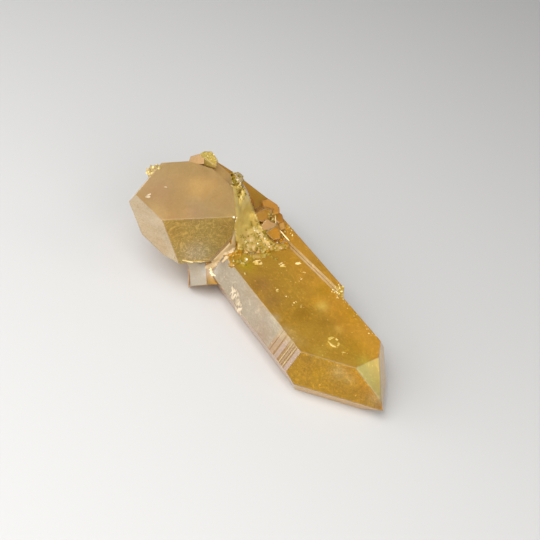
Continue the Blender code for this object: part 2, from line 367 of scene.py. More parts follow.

# %% [markdown]
# ## Colour that changes along a face
# The coat and the haze under it also change along a face: the long crystal's top is browner on
# its left, has a bright inner veil on its right and a hazy patch near the tip.  One near-white
# spot in the left face's near corner is painted reflection of the key box.  A large face has
# too few corners to hold that, so the skin is cut into small squares by flat bisects, which
# leaves its shape alone, and soft spots of colour are then mixed into the tints on the corners.

# %% Cut the skin into squares
SLICES = ((0, -44, 44), (1, -22, 23), (2, 1, 35))   # axis, first and last cut in mm
only(stone, "EDIT")
for axis, start, stop in SLICES:
    way = [0, 0, 0]
    way[axis] = 1
    for n in range(start, stop):
        bpy.ops.mesh.select_all(action="SELECT")
        bpy.ops.mesh.bisect(plane_co=[v * (n + 0.5) * MM for v in way], plane_no=way)
object_mode()
print("now", len(stone.data.polygons), "faces")

# %% Mix in soft spots
SPOTS = (   # mm: where, how far it reaches, its colour, how strong
    # the long crystal's top
    ((0, 1, 12.9), 5, (0.46, 0.23, 0.06), 0.7), ((6, 0, 12.9), 5, (0.48, 0.25, 0.06), 0.7),
    ((11.5, 10.6, 12.9), 2.8, (0.88, 0.46, 0.03), 0.8),
    ((9, 9.2, 12.9), 2.4, (0.76, 0.39, 0.03), 0.5),
    ((13.5, 5.4, 12.9), 4.5, (0.5, 0.25, 0.01), 0.8),
    ((13.4, 11.4, 12.9), 2.2, (1, 0.72, 0.14), 1),
    ((18.5, 8, 12.9), 2.8, (0.48, 0.25, 0.01), 0.5),
    ((21.8, 10.7, 12.9), 1.6, (1, 0.64, 0.12), 0.9),
    ((17.3, -1.3, 12.9), 2.6, (0.76, 0.5, 0.14), 0.7),
    ((21, -0.8, 12.9), 2.8, (0.74, 0.48, 0.12), 0.6),
    ((25.8, 2, 12.9), 3, (0.76, 0.5, 0.07), 0.6), ((24.8, 6.5, 12.9), 3, (0.78, 0.5, 0.06), 0.6),
    ((29, 11, 12.9), 6, (0.66, 0.38, 0.02), 0.7), ((19, 17, 12.9), 6, (0.56, 0.32, 0.0), 0.6),
    ((9, 15.5, 12.9), 4.5, (0.47, 0.28, 0.0), 0.7),
    ((-8, 1, 12.9), 3.5, (0.62, 0.45, 0.0), 0.8), ((-4, 13, 12.9), 4, (0.64, 0.36, 0.02), 0.6),
    # the tip
    ((28.3, -0.5, 8.9), 3.2, (0.82, 0.44, 0.0), 0.8), ((32, 4, 10.6), 3.0, (0.88, 0.59, 0.18), 0.8),
    ((34.5, 5.6, 9.6), 2.0, (0.9, 0.61, 0.19), 0.6), ((31.4, 1, 6.4), 2.6, (0.76, 0.39, 0.0), 0.6),
    ((38.5, 8, 7.2), 2.8, (0.74, 0.36, 0.0), 0.6), ((42.5, 10.7, 5.6), 1.8, (0.48, 0.17, 0.0), 0.9),
    ((41, 11, 6.5), 4, (0.72, 0.56, 0.28), 0.7), ((33.5, 10.5, 12.4), 3, (0.72, 0.64, 0.09), 0.6),
    # the long crystal's left face
    ((11.4, -2.4, 12.8), 1.8, (0.78, 0.68, 0.48), 0.6),
    ((15.6, -2.9, 12.0), 2.2, (0.76, 0.66, 0.46), 0.6),
    ((19.3, -2.6, 12.4), 1.8, (0.7, 0.56, 0.34), 0.6),
    ((11, -5.7, 7.1), 5.5, (0.46, 0.31, 0.23), 0.8),
    # next line: the near-white first spot is a painted reflection of the key box in the left face's
    # near corner
    ((-14, -5.6, 7.5), 2.6, (1, 0.96, 1), 0.9), ((-6, -4, 10.5), 4, (0.5, 0.42, 0.34), 0.6),
    # the short crystal
    ((-24, -5, 30), 8, (0.64, 0.42, 0.16), 0.7), ((-28, -16, 30), 6, (0.46, 0.3, 0.18), 0.6),
    ((-20, -9, 26), 4, (0.52, 0.33, 0.18), 0.6), ((-19, -3, 25.5), 3, (0.52, 0.33, 0.15), 0.5),
    ((-15.7, -2, 22), 5, (0.5, 0.34, 0.06), 0.7), ((-16, -10, 14), 5.5, (1.0, 0.88, 0.62), 0.85),
    ((-26, -20, 22), 5, (0.86, 0.74, 0.53), 0.5), ((-22, -17, 15), 4, (0.76, 0.56, 0.33), 0.5))
SPOT_FALL, SPOT_END = 2.5, 1.6   # how fast a spot fades, and where it ends, in reaches


def soften(obj, spots):
    """Mixes soft spots of colour into the tints that the corners already have."""
    layer = obj.data.color_attributes["coat_tint"]
    for loop in obj.data.loops:
        place = obj.data.vertices[loop.vertex_index].co
        tint = layer.data[loop.index].color[:]
        color = Vector(tint[:3])
        for near, reach, spot, strength in spots:
            away = (place - Vector(near) * MM).length / (reach * MM)
            if away < SPOT_END:
                color = color.lerp(Vector(spot), strength * math.exp(-SPOT_FALL * away * away))
        layer.data[loop.index].color = (*color, tint[3])
    print(len(spots), "spots on", obj.name)


soften(stone, SPOTS)

# %% [markdown]
# ## The skin of crust
# Where the two big crystals meet, later quartz has flowed over the corner as a smooth pale skin.
# It could be sculpted, but a draped sheet is quicker: a grid facing the camera is cut to the
# skin's outline, dropped onto the stone by Shrinkwrap, relaxed by Smooth so that it bridges the
# gaps, and given thickness by Solidify.  A second, smaller sheet makes the pale lip beside it.

# %% Outlines of the two sheets
SKIN_CENTRE = Vector((-7.77, 1.44, 27.83)) * MM
SKIN_SIZE = 30 * MM
SKIN_OUTLINE = (   # mm across and up the sheet
    (-6.9, 11.2), (-4.9, 11.5), (-3.6, 11.5), (-2.5, 10.4), (-1.4, 8.0), (-0.5, 5.5),
    (0.5, 3.3), (1.4, 1.0), (2.6, -1.3), (4.2, -3.1), (6.6, -4.2), (9.3, -4.5),
    (9.6, -5.5), (6.3, -6.9), (3.0, -8.2), (0.0, -8.8), (-2.5, -10.4), (-4.7, -10.1),
    (-6.3, -11.5), (-7.4, -10.7), (-6.9, -8.8), (-5.2, -6.0), (-5.5, -4.1), (-6.0, -1.9),
    (-6.6, 0.8), (-6.9, 3.6), (-7.1, 6.9))
LIP_OUTLINE = (
    (-6.0, 0.8), (-5.2, -1.9), (-5.2, -4.1), (-5.2, -6.0), (-7.1, -8.5), (-9.3, -10.1),
    (-11.5, -11.5), (-13.4, -11.8), (-14.3, -11.1), (-13.7, -10.1), (-12.1, -8.9), (-9.9, -6.7),
    (-7.7, -4.3), (-6.6, -2.5))


def inside(x, y, outline):
    """True where the point lies inside the closed outline."""
    hit = False
    for (x0, y0), (x1, y1) in zip(outline, outline[1:] + outline[:1]):
        if (y0 > y) != (y1 > y) and x < x0 + (x1 - x0) * (y - y0) / (y1 - y0):
            hit = not hit
    return hit


print("outlines of", len(SKIN_OUTLINE), "and", len(LIP_OUTLINE), "points")

# %% Cut a sheet and drop it
GRID_SQUARES = 90
SUNK = -0.1 * MM   # the sheet lands a little inside the stone


def apply_modifier(obj, kind, **settings):
    """Adds a modifier, fills in its settings and applies it at once."""
    only(obj)
    modifier = obj.modifiers.new(kind.lower(), kind)
    for key, value in settings.items():
        setattr(modifier, key, value)
    bpy.ops.object.modifier_apply(modifier=modifier.name)


def dropped_sheet(name, outline):
    """A grid cut to the outline, turned to face the camera and dropped on the stone."""
    deselect_all()
    bpy.ops.mesh.primitive_grid_add(x_subdivisions=GRID_SQUARES, y_subdivisions=GRID_SQUARES,
                                    size=SKIN_SIZE)
    sheet = bpy.context.object
    sheet.name = name
    pick_faces(sheet, lambda f: not inside(f.center.x / MM, f.center.y / MM, outline))
    bpy.ops.mesh.delete(type="FACE")
    object_mode()
    apply_modifier(sheet, "SMOOTH", factor=0.5, iterations=5)
    sheet.matrix_world = Matrix.Translation(SKIN_CENTRE) \
        @ camera.rotation_euler.to_matrix().to_4x4()
    apply_modifier(sheet, "SHRINKWRAP", target=stone, wrap_method="PROJECT", use_project_z=True,
                   use_negative_direction=True, use_positive_direction=False, offset=SUNK)
    return sheet


print("one square is", round(SKIN_SIZE / GRID_SQUARES / MM, 2), "mm")

# %% Hold the rim and relax the rest
SHORT_FACES = (   # two faces of the short crystal: a point on each in mm, the way each looks
    ((-18.6, 1.4, 27.6), (0.5995, -0.217, 0.77)),
    ((-16.1, -10.1, 11.7), (0.917, -0.337, 0.211)))
ON_FACE, LONGEST_LIFT = 0.4 * MM, 6 * MM


def hold_rim(sheet, tuck):
    """Tucks in what lies on the short crystal; the rest but for the rim is the group `inner`."""
    edge_use = {}
    for face in sheet.data.polygons:
        for key in face.edge_keys:
            edge_use[key] = edge_use.get(key, 0) + 1
    rim = {v for key, uses in edge_use.items() if uses == 1 for v in key}
    for v in sheet.data.vertices:
        place = sheet.matrix_world @ v.co
        if any(abs((place - Vector(on) * MM).dot(Vector(facing).normalized())) < ON_FACE
               for on, facing in SHORT_FACES):
            v.co.z -= tuck * MM
            rim.add(v.index)
    inner = sheet.vertex_groups.new(name="inner")
    inner.add([v.index for v in sheet.data.vertices if v.index not in rim], 1.0, "REPLACE")


def relax(sheet, rounds):
    """Smooths the inner part and lifts it back out wherever it sank into the stone."""
    for turns in (rounds, 3):
        apply_modifier(sheet, "SMOOTH", factor=0.6, iterations=turns, vertex_group="inner")
        apply_modifier(sheet, "SHRINKWRAP", target=stone, wrap_method="PROJECT",
                       use_project_z=True, use_positive_direction=True,
                       use_negative_direction=False, project_limit=LONGEST_LIFT,
                       vertex_group="inner")


print("tucked in under", len(SHORT_FACES), "faces")

# %% Drape the skin and the lip
RIPPLE_SIZE, RIPPLE_HEIGHT = 1.6 * MM, 0.35 * MM


def drape(name, outline, lift, rounds, thickness, tuck):
    """A sheet on the stone, relaxed, lifted, rippled and thickened; lengths in mm."""
    sheet = dropped_sheet(name, outline)
    hold_rim(sheet, tuck)
    relax(sheet, rounds)
    apply_modifier(sheet, "DISPLACE", strength=lift * MM, mid_level=0.0, vertex_group="inner")
    ripples = bpy.data.textures.new(name + "_ripples", "CLOUDS")
    ripples.noise_scale = RIPPLE_SIZE
    apply_modifier(sheet, "DISPLACE", texture=ripples, strength=RIPPLE_HEIGHT, mid_level=0.5,
                   vertex_group="inner")
    apply_modifier(sheet, "SOLIDIFY", thickness=thickness * MM, offset=-1.0)
    only(sheet)
    bpy.ops.object.transform_apply(location=True, rotation=True, scale=True)
    bpy.ops.object.shade_smooth()
    print(name, len(sheet.data.polygons), "faces")
    return sheet


skin = drape("crust_skin", SKIN_OUTLINE, lift=0.35, rounds=60, thickness=1.0, tuck=2.0)
lip = drape("pale_lip", LIP_OUTLINE, lift=0.3, rounds=12, thickness=0.8, tuck=0.3)

# %% Paint the skin and the lip
PALE, AMBER = Vector((0.68, 0.51, 0.145)), Vector((0.36, 0.19, 0.015))
LIP = (0.58, 0.43, 0.24, 0.3)
GREEN, MILKY = (0.3, 0.23, 0.01), (0.54, 0.4, 0.19)
THIN, THICK = 13.3 * MM, 15.8 * MM   # heights of thin and thick crust
SKIN_GRAIN = 0.4
SKIN_SPOTS = (   # as in SPOTS
    ((-8, 0.5, 13.2), 2.5, GREEN, 0.6), ((-7.5, 4, 13.2), 3.0, GREEN, 0.8),
    ((-7, 9.5, 13.2), 4.0, GREEN, 0.8), ((-12, 6.5, 15), 1.8, MILKY, 0.8),
    ((-13, 8.5, 15.5), 1.6, GREEN, 0.8), ((-11, 2.5, 13.8), 2.4, GREEN, 0.5),
    ((-9.5, 5.0, 13.8), 1.6, MILKY, 0.6), ((-20, 4, 23), 2.5, GREEN, 0.5),
    ((-16.5, 8, 17), 1.8, GREEN, 0.6), ((-14.5, 6, 16), 3.0, MILKY, 0.8),
    ((-22, 7.5, 21), 1.5, GREEN, 0.8), ((-18, 9.3, 17), 2.6, (0.4, 0.27, 0.05), 0.9),
    ((-15.5, 9.3, 15.2), 2.4, (0.42, 0.3, 0.08), 0.8),
    ((-12.3, 4.2, 14), 2.2, (0.42, 0.31, 0.09), 0.7),
    ((-10, 7.5, 13.2), 2.4, (0.36, 0.27, 0.05), 0.8))


def skin_tint(face):
    """Pale where the crust is thick; thin crust lets the gold of the long crystal show."""
    thick = min(max((face.center.z - THIN) / (THICK - THIN), 0), 1)
    return (*AMBER.lerp(PALE, thick), SKIN_GRAIN)


paint(skin, skin_tint)
soften(skin, SKIN_SPOTS)
paint(lip, lambda face: LIP)

# %% [markdown]
# ## Ledge crystals
# Behind the crust three flat crystals overlap like roof tiles.  Each starts as a six-sided
# cylinder; its top is inset and pushed up a little, which gives the low rim that such plates have.

# %% Ledge crystals
LEDGES = (   # mm: where, radius, height, lean to the side and back, tint
    ((-21.2, 16.9, 15.9), 2.7, 2.4, 4, -3, (0.48, 0.23, 0.04, 0.3)),
    ((-17.9, 16.9, 15.3), 2.2, 2.0, 7, -4, (0.33, 0.14, 0.01, 0.3)),
    ((-15.5, 16.5, 14.6), 1.75, 1.8, 8, 4, (0.48, 0.26, 0.065, 0.4)))
RIM_WIDTH, RIM_RISE = 0.3 * MM, 0.18 * MM
PLATE_STRETCH = Matrix.Diagonal((1.25, 0.85, 1, 1))   # wider than deep


def join(name, made):
    """Makes one named piece of several."""
    deselect_all()
    for piece in made:
        piece.select_set(True)
    bpy.context.view_layer.objects.active = made[0]
    bpy.ops.object.join()
    made[0].name = name
    return made[0]


plates = []
for place, radius, height, side, back, tint in LEDGES:
    deselect_all()
    bpy.ops.mesh.primitive_cylinder_add(vertices=6, radius=radius * MM, depth=height * MM)
    plate = bpy.context.object
    pick_faces(plate, lambda f: f.normal.z > 0.9)
    bpy.ops.mesh.inset(thickness=RIM_WIDTH)
    bpy.ops.transform.translate(value=(0, 0, RIM_RISE))
    object_mode()
    turn = Matrix.Rotation(math.radians(side), 4, "Y") @ Matrix.Rotation(math.radians(back), 4, "X")
    plate.data.transform(Matrix.Translation(Vector(place) * MM) @ turn @ PLATE_STRETCH)
    paint(plate, lambda f: tint)
    plates.append(plate)
ledge = join("ledge_crystals", plates)
print("ledge has", len(ledge.data.polygons), "faces")

# %% [markdown]
# ## Tiny crystals
# The crust glitters with quartz points, most of them under a millimetre across.  One is modelled:
# a six-sided cylinder whose top is drawn in to a point.  Hair particles could spread it, but plain
# copies are easier to steer: each is turned and sized at random and seated on the skin or the
# stone, and those of one kind are joined.

# %% One tiny quartz point
POINT_RADIUS, POINT_HEIGHT = 0.5 * MM, 1.2 * MM
TIP_RISE, TIP_END, TIP_WIDTH = 0.45 * MM, 1.05 * MM, 0.12

deselect_all()
bpy.ops.mesh.primitive_cylinder_add(vertices=6, radius=POINT_RADIUS, depth=POINT_HEIGHT)
seed_point = bpy.context.object
seed_point.name = "seed_point"
pick_faces(seed_point, lambda f: f.normal.z > 0.9)
bpy.ops.mesh.extrude_region_move(TRANSFORM_OT_translate={"value": (0, 0, TIP_RISE)})
bpy.ops.transform.resize(value=(TIP_WIDTH, TIP_WIDTH, 1), center_override=(0, 0, TIP_END))
object_mode()
print("one point has", len(seed_point.data.polygons), "faces")

# %% Random seats
draw = random.Random(11)   # a fixed seed: always the same crust


def seats_on(obj, count, wanted):
    """Random places on the faces of obj that pass `wanted`, with the way they face."""
    faces = [f for f in obj.data.polygons if wanted(f)]
    weights = [f.area for f in faces]
    made = []
    for face in draw.choices(faces, weights, k=count):
        corners = [obj.data.vertices[v].co for v in face.vertices]
        share = [draw.random() for _ in corners]
        total = sum(share)
        place = Vector((0, 0, 0))
        for corner, part in zip(corners, share):
            place += corner * (part / total)
        made.append((place, face.normal.copy()))
    return made


def around(obj, count, near, reach):
    """Random seats on the faces of obj within `reach` mm of a place."""
    near = Vector(near) * MM
    points = obj.data.vertices
    tries = seats_on(obj, 40 * count, lambda f: f.normal.z > -0.3 and min(
        (points[v].co - near).length for v in f.vertices) < 1.5 * reach * MM)
    return [seat for seat in tries if (seat[0] - near).length < reach * MM][:count]


high_part = [(*seat, 0.9) for seat in around(skin, 22, (-23.6, 6.8, 25.2), 2.4)]
print(len(high_part), "seats on the high part of the skin")

# %% Crust points and lumps
def scatter(name, seats, smallest, largest, lean, sink=0.2):
    """Copies of the tiny point on the seats, joined; a seat may state its own largest size."""
    copies = []
    for place, way, *most in seats:
        tip = (way + Vector([draw.uniform(-lean, lean) for _ in range(3)])).normalized()
        size = draw.uniform(smallest, most[0] if most else largest)
        copy = seed_point.copy()
        copy.data = seed_point.data.copy()
        bpy.context.collection.objects.link(copy)
        spin = Matrix.Rotation(draw.uniform(0, math.pi), 4, "Z")
        stretch = Matrix.Diagonal((size * draw.uniform(0.8, 1.2), size, size, 1))
        turn = tip.to_track_quat("Z", "Y").to_matrix().to_4x4()
        copy.data.transform(Matrix.Translation(place - tip * sink * size * MM)
                            @ turn @ spin @ stretch)
        copies.append(copy)
    print(name, len(copies), "points")
    return join(name, copies)


low_part = high_part + seats_on(skin, 110, lambda f: f.normal.z > 0.3 and f.center.z < 0.0165)
crust = scatter("crust_points", low_part, 0.3, 0.8, lean=0.7, sink=0.4)
lump_seats = seats_on(skin, 26, lambda f: f.normal.z > 0.5 and f.center.z < 0.016)
lump_seats += [(Vector((-25.8, 4.9, 28.2)) * MM, Vector((0.5, -0.5, 0.7)), 2.4),
               (Vector((-25.0, 5.4, 27.4)) * MM, Vector((0.6, -0.6, 0.5)), 2.0)]
lumps = scatter("crust_lumps", lump_seats, 0.8, 1.5, lean=0.5, sink=0.5)

# %% [markdown]
# ## Stray points
# Past the crust the points thin out over the long crystal's top.  An even spread would end in a
# line, so a point is kept by chance, and the chance falls off with its distance from the crust.

# %% Stray points
CRUST_END, THIN_OUT = -11.5, 0.5   # mm; how fast they thin out, per mm
TOP_HEIGHT = 12.9                  # mm: the long crystal's top

on_top = [(Vector((draw.uniform(CRUST_END, -2), draw.gauss(6, 4.5), TOP_HEIGHT)) * MM,
           Vector((0, 0, 1))) for _ in range(110)]
on_top = [(p, w) for p, w in on_top if -1 < p.y / MM < 14.5
          and draw.random() < math.exp(-(p.x / MM - CRUST_END) * THIN_OUT)]
on_top += around(stone, 24, (-24.6, 6.6, 28.7), 2.2)
on_top += around(stone, 16, (-18.5, 14.9, 16.2), 2.2) + around(ledge, 12, (-18.4, 15.3, 16.2), 1.8)
strays = scatter("stray_points", on_top, 0.25, 0.7, lean=0.8)

# %% [markdown]
# ## Sparkles and rough edges
# A few points catch the light fully: they are a piece of their own, whose brighter finish is a
# painted highlight.
# Others grow along edges, and a chipped lower edge is a row of placed points.

# %% Bright points
SPARKLES = (   # mm: where single bright points sit, which way they look, largest
    ((-24.6, 5.3, 27.2), (0.3, -0.7, 0.6), 0.9), ((-23.2, 6.5, 28.0), (0.4, -0.7, 0.6), 0.8),
    ((-24.2, 6.2, 28.4), (0.3, -0.6, 0.7), 0.6), ((-15.3, 0.1, 24.6), (0.9, -0.2, 0.4), 0.6),
    ((-15.2, 0.8, 24.2), (0.7, 0.3, 0.6), 0.4), ((-15.0, 0.6, 23.3), (0.8, 0.2, 0.5), 0.35))
spark_seats = seats_on(skin, 16, lambda f: f.normal.z > 0.4 and f.center.z < 0.0155)
spark_seats += [(Vector(near) * MM, Vector(facing).normalized(), largest)
                for near, facing, largest in SPARKLES]
sparks = scatter("painted_glint_points", spark_seats, 0.28, 0.62, lean=0.6, sink=0.1)

# %% Points along the edges
EDGE_PLACES = (   # mm: where points grow along the edges, how far, how many, largest
    ((-34, -12, 31), 4.0, 34, 0.8), ((-24.6, 6.6, 28.6), 2.4, 14, 0.45),
    ((11.8, 18.2, 13.3), 2.2, 26, 0.5),
    ((-13, 17.3, 14.5), 2.5, 16, 0.6), ((-14.8, -7.5, 2.5), 3.0, 16, 0.6),
    ((-30.2, 0.2, 33.6), 1.8, 8, 0.4), ((16.5, 18.1, 12.9), 1.6, 6, 0.3),
    ((20.5, 18.1, 12.9), 2.0, 5, 0.3), ((26, 18.1, 12.9), 2.2, 6, 0.3))
CHIPS = (   # mm: a chipped lower edge
    (-18.4, -14.6, 12.6), (-17.8, -13.7, 12.4), (-17.2, -12.9, 12.2), (-16.8, -12.0, 11.9),
    (-16.3, -10.8, 11.5), (-15.9, -9.7, 11.4), (-15.2, -7.7, 11.3))
edge_seats = [(Vector(chip) * MM, Vector((0.7, -0.6, 0.1)), 0.5) for chip in CHIPS]
for near, reach, count, largest in EDGE_PLACES:
    edge_seats += [(*seat, largest) for seat in around(stone, count, near, reach)]
edges = scatter("edge_points", edge_seats, 0.22, 0.7, lean=0.8, sink=0.35)
bpy.data.objects.remove(seed_point)

# %% [markdown]
# ## Flakes and rims
# Small scars break the smooth faces: rubbed scales on the left face, pale flakes past the crust,
# and thin rims along the steps and the stub.  Glints in the left face's near corner are flakes
# turned to mirror the key box, with a near-white finish that is painted reflection.  They could
# be a bump, but a bump has no edge to catch the light.  So each is a flat, uneven seven-sided disc
# with bevelled edges, which lies on the face with a slight lean, like a scale.

# %% One flake
SIDES, FLAKE_BEVEL = 7, 0.08   # of a disc one unit wide


def flake(place, facing, along, length, width, proud):
    """One thin scale on a face: where in mm, the way the face looks and the scale runs."""
    deselect_all()
    bpy.ops.mesh.primitive_cylinder_add(vertices=SIDES, radius=0.5, depth=1.0)
    made = bpy.context.object
    for n in range(SIDES):
        pull = draw.uniform(0.55, 1.25)
        for point in made.data.vertices[2 * n:2 * n + 2]:
            point.co.x, point.co.y = point.co.x * pull, point.co.y * pull
    only(made, "EDIT")
    bpy.ops.mesh.select_all(action="SELECT")
    bpy.ops.mesh.bevel(offset=FLAKE_BEVEL, segments=1, affect="EDGES")
    object_mode()
    z = Vector(facing).normalized()
    x = Vector(along)
    x = (x - z * x.dot(z)).normalized()
    turn = Matrix((x, z.cross(x), z)).transposed().to_4x4()
    lean = Matrix.Rotation(draw.uniform(-0.12, 0.12), 4, "Y")
    made.data.transform(Matrix.Translation(Vector(place) * MM) @ turn @ lean
                        @ Matrix.Diagonal((length * MM, width * MM, 2 * proud * MM, 1)))
    return made


print("a flake has", SIDES, "sides")

# %% Scales on the left face
def flake_group(places, facing, along, copies, spread, proud):
    """Every place gets a few scales, the first at its full size, the others smaller."""
    outward, made = Vector(facing).normalized(), []
    for place, length, width in places:
        for n in range(copies):
            shift = Vector([draw.gauss(0, spread) if n else 0 for _ in range(3)])
            shift -= outward * shift.dot(outward)
            size = 1.0 if n == 0 else draw.uniform(0.3, 0.6)
            run = Vector(along) + Vector([draw.uniform(-0.5, 0.5) for _ in range(3)])
            made.append(flake(Vector(place) + shift, facing, run, length * size, width * size,
                              proud * draw.uniform(0.7, 1.3)))
    return made


CROSSWISE = (0.55, -0.35, -0.75)
LEFT_FLAKES = (   # mm: where, length, width
    ((-5.0, -4.6, 9.2), 1.3, 0.6), ((-4.2, -4.9, 8.6), 1.9, 0.8), ((-3.6, -4.4, 9.4), 1.4, 0.6),
    ((-3.5, -5.4, 7.6), 1.6, 0.7), ((-2.9, -5.0, 8.4), 1.7, 0.7), ((-2.6, -4.4, 9.4), 1.6, 0.7),
    ((-2.0, -5.2, 8.0), 1.5, 0.6), ((-1.9, -4.5, 9.3), 1.0, 0.5), ((-1.3, -5.5, 7.4), 1.8, 0.8),
    ((-1.1, -4.9, 8.4), 1.4, 0.6), ((-0.4, -5.3, 7.9), 1.6, 0.7), ((0.3, -5.1, 8.2), 1.2, 0.6),
    ((0.5, -5.9, 6.7), 1.5, 0.7), ((1.2, -5.5, 7.5), 1.5, 0.7), ((1.9, -6.0, 6.7), 1.2, 0.6),
    ((-4.6, -5.3, 7.8), 1.0, 0.5), ((-0.4, -6.0, 6.6), 1.0, 0.5))
left_scales = join("left_scales", flake_group(LEFT_FLAKES, LEFT, CROSSWISE, 3, 0.45, 0.06))
print("left scales", len(left_scales.data.polygons), "faces")

# %% Flakes on the top and glints in the corner
TOP_FLAKES = (
    ((-7.2, 3.7, 12.9), 2.0, 1.1), ((-6.6, 4.9, 12.9), 1.2, 0.8), ((-7.9, 4.6, 12.9), 1.3, 0.7),
    ((-3.3, 9.8, 12.9), 1.9, 0.8), ((-2.3, 14.5, 12.9), 2.4, 0.8), ((1.1, 13.9, 12.9), 0.6, 0.4),
    ((2.9, 11.8, 12.9), 0.5, 0.4), ((3.4, 3.6, 12.9), 1.3, 0.6), ((9.2, 5.2, 12.9), 0.7, 0.5),
    ((6.4, 4.6, 12.9), 0.5, 0.3), ((11.2, 6.1, 12.9), 0.5, 0.3), ((28.6, 7.2, 12.9), 0.8, 0.4))
# the corner glints face the key box, and their near-white finish paints that reflection in
CORNER_FLAKES = (
    ((-14.6, -5.9, 8.4), 1.2, 0.9), ((-13.9, -5.9, 7.8), 1.5, 1.1),
    ((-13.3, -5.8, 7.2), 1.6, 0.8), ((-12.4, -5.4, 7.4), 1.0, 0.6))
CORNER_WAY = (0.07, -0.79, 0.61)
top_flakes = join("top_flakes", flake_group(TOP_FLAKES, UP, (0.3, 1, 0), 4, 0.55, 0.05))
glints = join("corner_glints", flake_group(CORNER_FLAKES, CORNER_WAY, (1, -0.2, -0.6), 2,
                                           0.4, 0.12))
print("top", len(top_flakes.data.polygons), "faces, glints", len(glints.data.polygons))

# %% Marks and rims
SHORT_TOP = (0.6, -0.217, 0.769)
STUB_LIGHT = (0.261, -0.748, 0.61)
BOTTOM_EDGE = (0.3, 0.94, -0.17)   # the way the short crystal's chipped lower edge runs
RIM_LINES = (   # mm: centre, facing, running, length: pale rims of the steps
    ((-15.2, 14.9, 16.6), (0.35, 0.25, 0.9), (5.4, -1.6, 1.1), 5.4),
    ((-11.0, 15.1, 15.6), (0.4, -0.4, 0.8), (3.4, 1.6, -2.6), 4.6))
marks = join("small_marks", [
    flake((-27.6, -19.3, 28.75), SHORT_TOP, (0.3, 1, 0.1), 1.5, 0.8, 0.1),
    flake((-27.9, -18.7, 29.15), SHORT_TOP, (0.2, 1, 0.3), 1.0, 0.5, 0.08),
    flake((-27.6, -14.0, 30.3), SHORT_TOP, (0.5, 1, 0), 0.9, 0.4, 0.06)])
stub_rim = join("stub_rim", [
    flake((-17.3, -10.7, 5.35), STUB_LIGHT, (4.1, -1.6, -3.7), 6.2, 0.36, 0.12),
    flake((-18.5, -14.7, 12.6), (0.6, -0.7, 0.1), (0.3, 1, -0.2), 0.9, 0.6, 0.12)])
bottom_rim = [flake((-17.0, -12.6, 12.1), (0.8, -0.5, 0.1), BOTTOM_EDGE, 4.4, 0.55, 0.1),
              flake((-15.6, -9.0, 11.4), (0.8, -0.4, 0.1), BOTTOM_EDGE, 3.8, 0.5, 0.1)]
rims = join("step_rims", bottom_rim + [flake(place, facing, along, length, 0.35, 0.10)
                                       for place, facing, along, length in RIM_LINES])
print("rims", len(rims.data.polygons), "faces")

# %% [markdown]
# ## The round mark
# A worn ring shows on the long crystal's top near the tip.  A torus pressed flat is nearly sunk in
# the face, and a Displace modifier with a cloud texture breaks it up, so that it looks worn.

# %% The round mark
RING_PLACE, RING_RADIUS = Vector((24.8, 7.0, 12.87)) * MM, 1.35 * MM
RING_THICKNESS, RING_SHAPE = 0.42 * MM, (1.1, 0.9, 0.22)
WEAR_SIZE, WEAR_DEPTH = 0.8 * MM, 0.3 * MM

deselect_all()
bpy.ops.mesh.primitive_torus_add(location=RING_PLACE, major_radius=RING_RADIUS,
                                 minor_radius=RING_THICKNESS, major_segments=48, minor_segments=10)
ring = bpy.context.object
ring.name = "round_mark"
only(ring, "EDIT")
bpy.ops.mesh.select_all(action="SELECT")
bpy.ops.transform.resize(value=RING_SHAPE, center_override=RING_PLACE)
object_mode()
bpy.ops.object.transform_apply(location=True, rotation=True, scale=True)
wear = bpy.data.textures.new("worn_ring", "CLOUDS")
wear.noise_scale = WEAR_SIZE
apply_modifier(ring, "DISPLACE", texture=wear, strength=WEAR_DEPTH, mid_level=0.66)
print("ring has", len(ring.data.polygons), "faces")

# %% [markdown]
# ## The coated quartz
# The stone is clear quartz under a thin shiny coat.  A metal finish would hide the inside, and
# plain glass would lose the colour.  So about half of the light passes through, the painted tint
# colours it, a clear coat gives the shine, and absorption turns the thick parts amber.

# %% Helpers for finishes
QUARTZ_IOR = 1.54


def plain_material(name):
    """A new material with its nodes and its Principled BSDF."""
    made = bpy.data.materials.new(name)
    made.use_nodes = True
    return made, made.node_tree.nodes, made.node_tree.nodes["Principled BSDF"]


def feed(node, **values):
    """Fills a node's settings and sockets; a value that is another node's output is linked."""
    for key, value in values.items():
        socket = key.replace("_", " ")
        if isinstance(value, bpy.types.NodeSocket):
            node.id_data.links.new(value, node.inputs[socket])
        elif hasattr(node, key):
            setattr(node, key, value)
        else:
            node.inputs[socket].default_value = value
    return node


def add_node(nodes, kind, **values):
    """A new node with its sockets and settings filled in."""
    return feed(nodes.new(kind), **values)


def ramp(nodes, source, low, low_color, high, high_color):
    """A colour ramp of two stops, fed by a 0..1 value."""
    made = add_node(nodes, "ShaderNodeValToRGB", Fac=source)
    first, last = made.color_ramp.elements
    first.position, last.position = low, high
    first.color, last.color = (*low_color, 1), (*high_color, 1)
    return made.outputs["Color"]


def mix(nodes, how, a, b, factor):
    """Colour a darkened by colour b (MULTIPLY) or with b added to it (ADD)."""
    return add_node(nodes, "ShaderNodeMix", data_type="RGBA", blend_type=how,
                    A=a, B=b, Factor=factor).outputs["Result"]


print("quartz IOR", QUARTZ_IOR)

